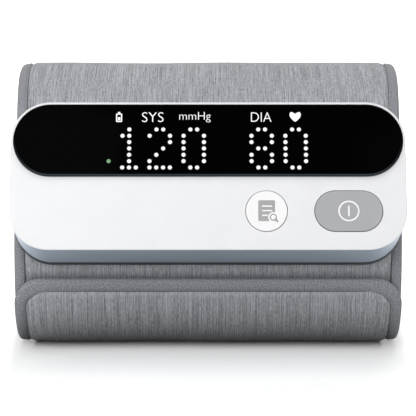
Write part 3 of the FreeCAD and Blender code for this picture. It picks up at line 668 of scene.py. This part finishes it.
# -------- edge tapes and their stitches
# the folded tape from its front's inner edge over the strip's edge to its back's: mm in from that edge, depth
TAPE_PROFILE = ((4.75, 2.1), (4.5, 1.15), (4.2, 0.84), (3.4, 0.64), (2.3, 0.56), (1.0, 0.66), (0.05, 1.2),
                (-0.25, 2.3), (0.0, 3.3), (1.0, 3.9), (2.3, 4.05), (3.6, 3.98), (4.35, 3.6), (4.9, 2.9))
TAPE_WAVES = ((0.10, 0.35, 0.0), (0.06, 0.93, 1.0))  # height, radians in a mm, start
PATH_STEP = 2.0
END_SHARES = np.linspace(-1.0, 1.0, 60)[1:-1]


def edge_path(start, far, corners, widths, spread=lambda station: 0.0):
    """Places along a U-shaped edge of the strip, as (x, station, inward x, inward station).

    The inward pair is the way to the tape's inner edge for each mm of the tape profile's width."""
    sign = 1.0 if far > start else -1.0
    (outer_across, outer_along), (inner_across, inner_along) = corners
    side, end = widths
    run, inner_run = abs(far - start) - outer_along, abs(far - start) - end - inner_along
    path = []

    def add(x, station, inner_x, inner_station):
        path.append((x, station, (inner_x - x) / TAPE_WIDTH, (inner_station - station) / TAPE_WIDTH))

    for share in np.linspace(0.0, 1.0, math.ceil(run / PATH_STEP) + 1)[:-1]:
        station = start + sign * share * run
        edge = -STRIP_HALF - spread(station)
        add(edge, station, edge + side, start + sign * share * inner_run)
    for turn in CORNER_TURNS:
        across, along = 1.0 - math.cos(turn), 1.0 - math.sin(turn)
        add(-STRIP_HALF + outer_across * across, far - sign * outer_along * along,
            -STRIP_HALF + side + inner_across * across, far - sign * (end + inner_along * along))
    one_side = len(path)
    for share in END_SHARES:
        add(share * (STRIP_HALF - outer_across), far,
            share * (STRIP_HALF - side - inner_across), far - sign * end)
    return path + [(-x, s, -nx, ns) for x, s, nx, ns in reversed(path[:one_side])]


def tape(name, path):
    """Tape folded over an edge of the strip and sewn down."""
    points, marks = [], []
    walked = 0.0
    steps = [math.dist(here, there) for here, there in zip(TAPE_PROFILE, TAPE_PROFILE[1:])]
    across = np.concatenate(([0.0], np.cumsum(steps)))
    for number, (x, station, nx, ns) in enumerate(path):
        if number:
            walked += math.dist((x, station), path[number - 1][:2])
        puff = sum(height * math.sin(rate * walked + start) for height, rate, start in TAPE_WAVES)
        for k, (inset, depth) in enumerate(TAPE_PROFILE):
            swollen = depth + puff * (0.5 if depth > STRIP_THICKNESS / 2 else -0.5)
            points.append(strip_point(x + nx * inset, station + ns * inset, swollen))
            marks.append((walked, across[k], 0.0))
    faces = ring_faces(len(path), len(TAPE_PROFILE))
    piece = new_piece(name, points, faces, "tape", ("strip", marks))
    rounding = piece.modifiers.new("round", "SUBSURF")
    rounding.levels = rounding.render_levels = 1
    return piece


THREAD_ROUND = np.radians(np.arange(0, 360, 60))
STITCH_PITCH = 2.3
STITCH_LENGTH = 1.5
STITCH_RADIUS = 0.17
STITCH_ARCH = 0.10        # of its middle over its ends
STITCH_SHAPE = ((-0.5, 0.3), (-0.3, 0.9), (0.0, 1.0), (0.3, 0.9), (0.5, 0.3))  # shares of length, radius
STITCH_INSET = 3.3        # across the tape, in mm of its profile
FRONT_STITCH, BACK_STITCH = 0.66, 3.98  # depths
LOOK_AHEAD = 0.1          # along the path, to find which way it goes


def stitches(name, path, depth):
    """A row of stitches that runs beside a tape's inner edge."""
    places = np.array([(x + nx * STITCH_INSET, s + ns * STITCH_INSET) for x, s, nx, ns in path])
    walked = np.concatenate(([0.0], np.cumsum(np.hypot(*np.diff(places, axis=0).T))))
    points, faces, marks = [], [], []
    for start in np.arange(STITCH_PITCH, walked[-1] - STITCH_PITCH, STITCH_PITCH):
        first = len(points)
        for along, thick in STITCH_SHAPE:
            middle = start + along * STITCH_LENGTH
            here, there = (np.array([np.interp(place, walked, places[:, k]) for k in (0, 1)])
                           for place in (middle, middle + LOOK_AHEAD))
            forward = (there - here) / np.hypot(*(there - here))
            lift = STITCH_ARCH * (1.0 - (2.0 * along) ** 2)
            for angle in THREAD_ROUND:
                side, rise = (thick * STITCH_RADIUS * part(angle) for part in (math.cos, math.sin))
                points.append(strip_point(here[0] + forward[1] * side, here[1] - forward[0] * side,
                                          depth - lift - rise))
                marks.append((middle, side, 0.0))
        faces += shifted(ring_faces(len(STITCH_SHAPE), len(THREAD_ROUND)), first)
    return new_piece(name, points, faces, "thread", ("strip", marks))


SEAM_RADIUS = 0.2
SEAM_LIFT = 0.12          # of the cord's middle over the cloth's lowest edge


def seam_cord(name, path):
    """A dark cord in the groove between a tape and the cloth."""
    points, marks = [], []
    for x, station, nx, ns in path:
        for angle in THREAD_ROUND:
            reach = SEAM * TAPE_WIDTH + SEAM_RADIUS * math.cos(angle)
            points.append(strip_point(x + nx * reach, station + ns * reach,
                                      REST_DEPTH + SEAM_DEPTH - SEAM_LIFT + SEAM_RADIUS * math.sin(angle)))
            marks.append((x, station, 0.0))
    faces = ring_faces(len(path), len(THREAD_ROUND))
    return new_piece(name, points, faces, "seam", ("strip", marks))


HOOK_PITCH = 1.5
# rise over the flap's inner face, lean and radius
HOOK_RINGS = ((-0.05, 0.0, 0.2), (0.25, 0.0, 0.13), (0.42, 0.12, 0.12), (0.36, 0.34, 0.05))
HOOK_ROUND = ((1, 0), (0, 1), (-1, 0), (0, -1))
HOOK_START, HOOK_MARGIN = 3.0, 5.0  # past the line the flap turns about, and inside its cloth's edges


def hook_field():
    """Rows of small hooks on the flap's inner face."""
    half = FLAP_HALF - HOOK_MARGIN
    points, faces = [], []
    for row, station in enumerate(np.arange(HINGE + HOOK_START, FLAP_TOP - HOOK_MARGIN, HOOK_PITCH)):
        for x in np.arange(-half + HOOK_PITCH / 2 * (row % 2), half, HOOK_PITCH):
            first = len(points)
            points += [strip_point(x + lean + radius * dx, station + radius * ds, STRIP_THICKNESS + rise)
                       for rise, lean, radius in HOOK_RINGS for dx, ds in HOOK_ROUND]
            faces += shifted(ring_faces(len(HOOK_RINGS), len(HOOK_ROUND)), first)
    return new_piece("flap_hook_field", points, faces, "hook")


def build_cuff():
    cover, lining, flap = body_cover(), body_lining(), flap_cloth()
    body_path = edge_path(BODY_END, 0.0, TAIL_CORNERS, BODY_TAPE, flare)
    flap_path = edge_path(BODY_END, FLAP_END, FLAP_CORNERS, FLAP_TAPE)
    body_tape, flap_tape = tape("body_tape", body_path), tape("flap_tape", flap_path)
    body_seams = [stitches("body_stitches", body_path, FRONT_STITCH),
                  stitches("body_back_stitches", body_path, BACK_STITCH),
                  seam_cord("body_seam", body_path)]
    flap_seams = [stitches("flap_stitches", flap_path, FRONT_STITCH), seam_cord("flap_seam", flap_path)]
    hooks = hook_field()
    for piece in (cover, lining, body_tape, *body_seams):
        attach(piece, "body")
    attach(hooks, "flap")
    for piece in (flap, flap_tape, *flap_seams):
        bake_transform(piece)
    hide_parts("cuff_cover")
    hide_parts("cuff_lining")
    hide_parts("left_edge_binding", "right_edge_binding", "tail_binding")
    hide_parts("flap_panel")
    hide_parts("flap_binding")


# -------- signs on the unit's face
SIGN_THICKNESS = 0.02


def flat_piece(name, outlines, level, finish):
    """Thin raised signs: each outline is a list of (x, y) on the face, or (outer, inner) for a ring."""
    points, faces = [], []
    foot = level - SIGN_THICKNESS
    for outline in outlines:
        hollow = len(outline) == 2
        outer, inner = outline if hollow else (outline, None)
        rings = [(outer, foot), (outer, level), (inner, level), (inner, foot)][:4 if hollow else 2]
        first = len(points)
        for places, z in rings:
            points.extend(UNIT @ Vector((x, y, z)) for x, y in places)
        faces += shifted(ring_faces(len(rings), len(outer), hollow), first)
    return new_piece(name, points, faces, finish, ("rim", [0.0] * len(points)), smooth=False)


BOX_TURNS = np.arange(0, 91, 18)  # degrees, in a rounded corner
BAR_TURNS = np.arange(0, 181, 30)  # and in a stroke's round end


def circle(x, y, radius, count=40):
    turns = np.linspace(0, 2 * math.pi, count + 1)[:-1]
    return [(x + radius * math.cos(a), y + radius * math.sin(a)) for a in turns]


def box(x_low, x_high, y_low, y_high, radius=0.0):
    """A rectangle, with rounded corners if a radius is given."""
    if not radius:
        return [(x_low, y_low), (x_high, y_low), (x_high, y_high), (x_low, y_high)]
    corners = ((x_high, y_low, 270, -1, 1), (x_high, y_high, 0, -1, -1), (x_low, y_high, 90, 1, -1),
               (x_low, y_low, 180, 1, 1))
    return [(x + sx * radius + radius * math.cos(a), y + sy * radius + radius * math.sin(a))
            for x, y, start, sx, sy in corners for a in np.radians(start + BOX_TURNS)]


def bar(start, end, width):
    """A straight stroke with round ends."""
    angle = math.atan2(end[1] - start[1], end[0] - start[0])
    outline = []
    for (x, y), turn in ((end, -90), (start, 90)):
        outline += [(x + width / 2 * math.cos(angle + a), y + width / 2 * math.sin(angle + a))
                    for a in np.radians(turn + BAR_TURNS)]
    return outline


# round the seal at the unit's foot: growth of the unit's outline, distance from the unit arc's centre
SEAL_PROFILE = ((0.08, 83.3), (0.34, 82.8), (0.42, 81.6), (0.36, 80.6), (0.1, 80.15), (-0.6, 80.15),
                (-0.6, 83.3))
SEAL_TURNS = np.linspace(0, 90, 13)
SEAL_SHARES = np.linspace(0, 1, 14)[1:-1]  # of each straight run between two corners


def outline_ring(grow):
    """The unit's outline grown by some mm, always with as many points."""
    half_x, half_y = (size / 2 - UNIT_CORNER for size in UNIT_SIZE)
    outline = []
    corners = ((1, -1, 270, 0, 1), (1, 1, 0, -1, 0), (-1, 1, 90, 0, -1), (-1, -1, 180, 1, 0))
    for sx, sy, start, way_x, way_y in corners:
        for a in np.radians(start + SEAL_TURNS):
            outline.append((sx * half_x + (UNIT_CORNER + grow) * math.cos(a),
                            sy * half_y + (UNIT_CORNER + grow) * math.sin(a)))
        x, y = outline[-1]
        run = 2 * (half_y if way_y else half_x)
        outline += [(x + way_x * run * share, y + way_y * run * share) for share in SEAL_SHARES]
    return outline


def seal_and_shadow_line():
    """Soft dark seal round the unit's foot, which follows the cuff's curve; its dark colour also paints the
    shadow line where the unit meets the cuff.
    """
    rings = [outline_ring(grow) for grow, _ in SEAL_PROFILE]
    points = []
    for k in range(len(rings[0])):
        for (_, radius), ring in zip(SEAL_PROFILE, rings):
            x, y = ring[k]
            points.append(UNIT @ Vector((x, y, math.sqrt(radius ** 2 - y ** 2) - FACE_DISTANCE)))
    faces = ring_faces(len(rings[0]), len(SEAL_PROFILE), joined=True)
    seal = new_piece("seal_and_shadow_line", points, faces, "seal")
    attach(seal, "body")


DOT_PITCH = (2.545, 2.455)
DOT_FIRST = (-32.1, 17.53)
DOT_RADIUS = 0.81
DOT_RINGS = ((1.0, 0.005), (0.85, 0.03), (0.4, 0.05))  # share of the radius, and rise over the lens
DOT_COUNT = 20            # points in each ring
FIGURES = {
    "1": ("010", "110", "010", "010", "010", "010", "111"),
    "2": ("0110", "1001", "0001", "0010", "0100", "1000", "1111"),
    "0": ("0110", "1001", "1001", "1001", "1001", "1001", "0110"),
    "8": ("0110", "1001", "1001", "0110", "1001", "1001", "0110"),
}
READING = (("1", 0), ("2", 4), ("0", 9), ("8", 19), ("0", 24))  # figure and its first column
STATUS_DOT = (-2, 5)      # column and row


def dots(name, places, finish):
    """Round dots of light on the lens, slightly domed."""
    points, faces, rims = [], [], []
    for column, row in places:
        x = DOT_FIRST[0] + DOT_PITCH[0] * column
        y = DOT_FIRST[1] - DOT_PITCH[1] * row
        first = len(points)
        for share, rise in DOT_RINGS:
            points.extend(UNIT @ Vector((px, py, LENS_RISE + rise))
                          for px, py in circle(x, y, DOT_RADIUS * share, DOT_COUNT))
            rims += [share] * DOT_COUNT
        faces += shifted(ring_faces(len(DOT_RINGS), DOT_COUNT), first)
    return new_piece(name, points, faces, finish, ("rim", rims))


LETTER_OFFSET = -0.012    # of the letters' outlines, which thins them
LETTER_STEPS = 4          # in each curve of a letter
# where each word stands on the face: low and high x, low and high y
WORDS = {
    "SYS": (-24.84, -16.75, 20.42, 24.24),
    "mmHg": (-10.82, 0.97, 20.30, 24.34),
    "DIA": (16.1, 23.8, 20.55, 24.2),
}


def word(text, level):
    """Plain lit lettering, fitted to its box on the face."""
    name = "word_" + text
    x_low, x_high, y_low, y_high = WORDS[text]
    curve = bpy.data.curves.new(name, "FONT")
    curve.body, curve.offset, curve.resolution_u = text, LETTER_OFFSET, LETTER_STEPS
    holder = in_scene(name + "_outline", curve)
    bpy.context.view_layer.update()
    flat = bpy.data.meshes.new_from_object(holder.evaluated_get(bpy.context.evaluated_depsgraph_get()))
    bpy.data.objects.remove(holder)
    bpy.data.curves.remove(curve)
    places = np.array([v.co[:2] for v in flat.vertices])
    low, high = places.min(0), places.max(0)
    scale = (np.array((x_high, y_high)) - (x_low, y_low)) / (high - low)
    fitted = (places - low) * scale + (x_low, y_low)
    points = [UNIT @ Vector((x, y, level)) for x, y in fitted]
    faces = [tuple(p.vertices) for p in flat.polygons]
    bpy.data.meshes.remove(flat)
    return new_piece(name, points, faces, "glow", ("rim", [0.0] * len(points)), smooth=False)


HEART_WAVES = ((1, 13.0), (2, -4.4), (3, -1.6), (4, -0.7))  # cosines of its height round the outline
HEART_WAIST = 0.5
HEART_POINTS = 40


def heart(x_low, x_high, y_low, y_high):
    """A full heart with a shallow notch, fitted to a box."""
    turns = np.linspace(0, 2 * math.pi, HEART_POINTS + 1)[:-1]
    outline = np.array([(math.sin(t) * (HEART_WAIST + abs(math.sin(t))),
                         sum(size * math.cos(times * t) for times, size in HEART_WAVES))
                        for t in reversed(turns)])
    low, high = outline.min(0), outline.max(0)
    fitted = (outline - low) / (high - low) * (x_high - x_low, y_high - y_low) + (x_low, y_low)
    return [tuple(p) for p in fitted]


SIGN_RISE = 0.03          # of the lit signs' faces over the lens
HEART_BOX = (30.6, 34.85, 20.55, 24.3)
CELL_SIGN = ((box(-34.6, -32.3, 20.45, 23.75, 0.35), box(-34.15, -32.75, 20.9, 23.3, 0.15)),
             box(-33.9, -33.0, 23.85, 24.35), box(-33.95, -32.95, 21.1, 22.3))


def build_display():
    lit = [(first + column, row) for figure, first in READING for row, line in enumerate(FIGURES[figure])
           for column, on in enumerate(line) if on == "1"]
    level = LENS_RISE + SIGN_RISE
    pieces = [
        dots("reading_dots", lit, "glow"),
        dots("status_dot", [STATUS_DOT], "green"),
        *(word(text, level) for text in WORDS),
        flat_piece("heart_sign", [heart(*HEART_BOX)], level, "glow"),
        flat_piece("cell_sign", CELL_SIGN, level, "glow"),
    ]
    for piece in pieces:
        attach(piece, "body")


# the signs on the buttons: the sheet's box, its lines' left end, half height, and each one's y and right end
SHEET = (18.65, 24.92, -17.55, -9.6, 0.45)
LINE_START, LINE_HALF = 20.03, 0.25
LINES = ((-11.86, 23.84), (-13.58, 23.84), (-15.37, 22.16))
GLASS = (24.25, -16.1)    # the search glass's middle
GLASS_RING = (1.4, 0.9)
GLASS_HANDLE = ((25.3, -17.15), (25.9, -17.75), 0.65)  # start, end and width
HALO = 1.95               # radius of the bare ground that sets the glass off from the sheet
HALO_HANDLE = ((25.1, -17.0), (26.0, -17.9), 1.5)
POWER = (52.35, -13.7)    # the on/off sign's middle
POWER_RING = (3.95, 3.4)
POWER_STROKE = (1.75, 0.6)  # half length and width


def ring(centre, radii):
    return tuple(circle(*centre, radius) for radius in radii)


def build_button_signs():
    lines = [box(LINE_START, end, y - LINE_HALF, y + LINE_HALF) for y, end in LINES]
    (x, y), (half, width) = POWER, POWER_STROKE
    signs = (
        # name, outlines, rise over the button, finish, slot and body
        ("record_sheet", [box(*SHEET)], 0.02, "print_grey", "grey_button", "memory_key"),
        ("record_lines", lines, 0.04, "print_white", "white_shell", "memory_key"),
        ("glass_halo", [circle(*GLASS, HALO), bar(*HALO_HANDLE)], 0.05, "print_white", "white_shell",
         "memory_key"),
        ("search_glass", [ring(GLASS, GLASS_RING), bar(*GLASS_HANDLE)], 0.07, "print_grey", "grey_button",
         "memory_key"),
        ("power_sign", [ring(POWER, POWER_RING), bar((x, y - half), (x, y + half), width)], 0.02,
         "print_white", "white_shell", "start_stop_key"),
    )
    for name, outlines, rise, finish, slot, body in signs:
        piece = flat_piece(name, outlines, BUTTON_RISE + rise, finish)
        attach(piece, body)


# -------- stage, light and camera
FLOOR_HALF = 6.0          # metres, as the floor's other distances
FLOOR_COLOUR = 0.95
FOOTPRINT = (0.068, 0.043)  # half of the floor under the cuff, across and along
SIDE_FADE = 10.0          # how much sooner the shadow ends beside the cuff
LINE_END = 0.015          # from the footprint to the end of the dark line under the cuff
SHADE_END = 0.08          # and to the end of the even soft shade round it
WHITE_FROM = 0.15         # and to where all is white
SHADE_GLOW = 0.3          # white added to the floor in the soft shade
BOUNCE_FROM, BOUNCE_TO = 0.06, 0.15  # where the floor starts to light the object, and does so fully
FLOOR_BOUNCE = 0.86       # the floor's colour as the object is lit by it there


def build_floor():
    """A white floor that keeps the object's real shadow, with painted shade round the cuff where less white
    glow is added, and which lights the object from a way off only.
    """
    corners = [(FLOOR_HALF * x, FLOOR_HALF * y, 0.0) for x, y in ((-1, -1), (1, -1), (1, 1), (-1, 1))]
    floor = new_piece("floor", corners, [(0, 1, 2, 3)], "print_white", smooth=False)
    finish = Finish("studio_floor", Roughness=0.95, Specular_IOR_Level=0.0)
    seen = finish.seen()
    beside, before = (finish.math("MAXIMUM", finish.math("SUBTRACT", finish.math("ABSOLUTE", way), half))
                      for way, half in zip(finish.parts(finish.object_place()), FOOTPRINT))
    away = finish.hypotenuse(finish.math("MULTIPLY", beside, SIDE_FADE), before)
    bounce = finish.ramp(away, [(BOUNCE_FROM, grey(0.0)), (BOUNCE_TO, grey(FLOOR_BOUNCE))])
    finish.paint(finish.mix(seen, bounce, grey(FLOOR_COLOUR)))
    # painted shade: less white is added near the cuff, and none at its foot
    reach = finish.ramp(away, [(0.0, grey(0.0)), (LINE_END, grey(SHADE_GLOW)), (SHADE_END, grey(SHADE_GLOW)),
                               (WHITE_FROM, grey(1.0))])
    white = finish.add("Emission", Color=reach, Strength=seen)
    total = finish.add("AddShader")
    finish.set(total, {0: finish.shader.outputs[0], 1: white.outputs[0]})
    finish.tree.links.new(total.outputs[0], finish.tree.nodes["Material Output"].inputs["Surface"])
    give(floor, finish)


WORLD_FILL = 0.19         # strength of the surroundings as light; seen and mirrored they are white


def build_world():
    world = bpy.data.worlds.new("studio")
    bpy.context.scene.world = world
    world.use_nodes = True
    nodes = Nodes(world.node_tree)
    strength = nodes.add("MapRange", Value=nodes.seen(), To_Min=WORLD_FILL, To_Max=1.0).outputs["Result"]
    nodes.set(nodes.tree.nodes["Background"], {"Color": grey(1.0), "Strength": strength})


LAMPS = (
    # name, direction (azimuth, elevation), distance and size in metres, light on a surface that faces it
    ("left_softbox", (-29.0, 25.0), 0.9, 0.60, 0.487),
    ("right_softbox", (29.0, 24.0), 2.4, 1.50, 0.195),
    ("overhead_softbox", (-20.0, 80.0), 1.5, 1.1, 0.34),
    ("rear_softbox", (170.0, 32.0), 1.8, 1.0, 0.34),
)


def build_lamps():
    for name, (azimuth, elevation), distance, size, light in LAMPS:
        lamp = bpy.data.lights.new(name, "AREA")
        lamp.size = size
        lamp.energy = light * (math.pi * distance) ** 2
        holder = in_scene(name, lamp)
        around, high = math.radians(azimuth), math.radians(elevation)
        away = Vector((math.sin(around) * math.cos(high), -math.cos(around) * math.cos(high), math.sin(high)))
        holder.location = CAMERA_AIM + distance * away
        holder.rotation_euler = away.to_track_quat("Z", "Y").to_euler()


def build_camera():
    angle = math.radians(CAMERA_ELEVATION)
    lens = bpy.data.cameras.new("camera")
    lens.lens, lens.sensor_width = CAMERA_LENS, SENSOR_WIDTH
    lens.clip_start, lens.clip_end = VIEW_RANGE
    camera = in_scene("camera", lens)
    camera.location = CAMERA_AIM + CAMERA_DISTANCE * Vector((0.0, -math.cos(angle), math.sin(angle)))
    camera.rotation_euler = (CAMERA_AIM - camera.location).to_track_quat("-Z", "Y").to_euler()
    bpy.context.scene.camera = camera


build_camera()
build_world()
build_lamps()
build_floor()
build_cuff()
seal_and_shadow_line()
build_display()
build_button_signs()
bpy.context.scene.view_settings.view_transform = "Standard"

bpy.context.view_layer.update()
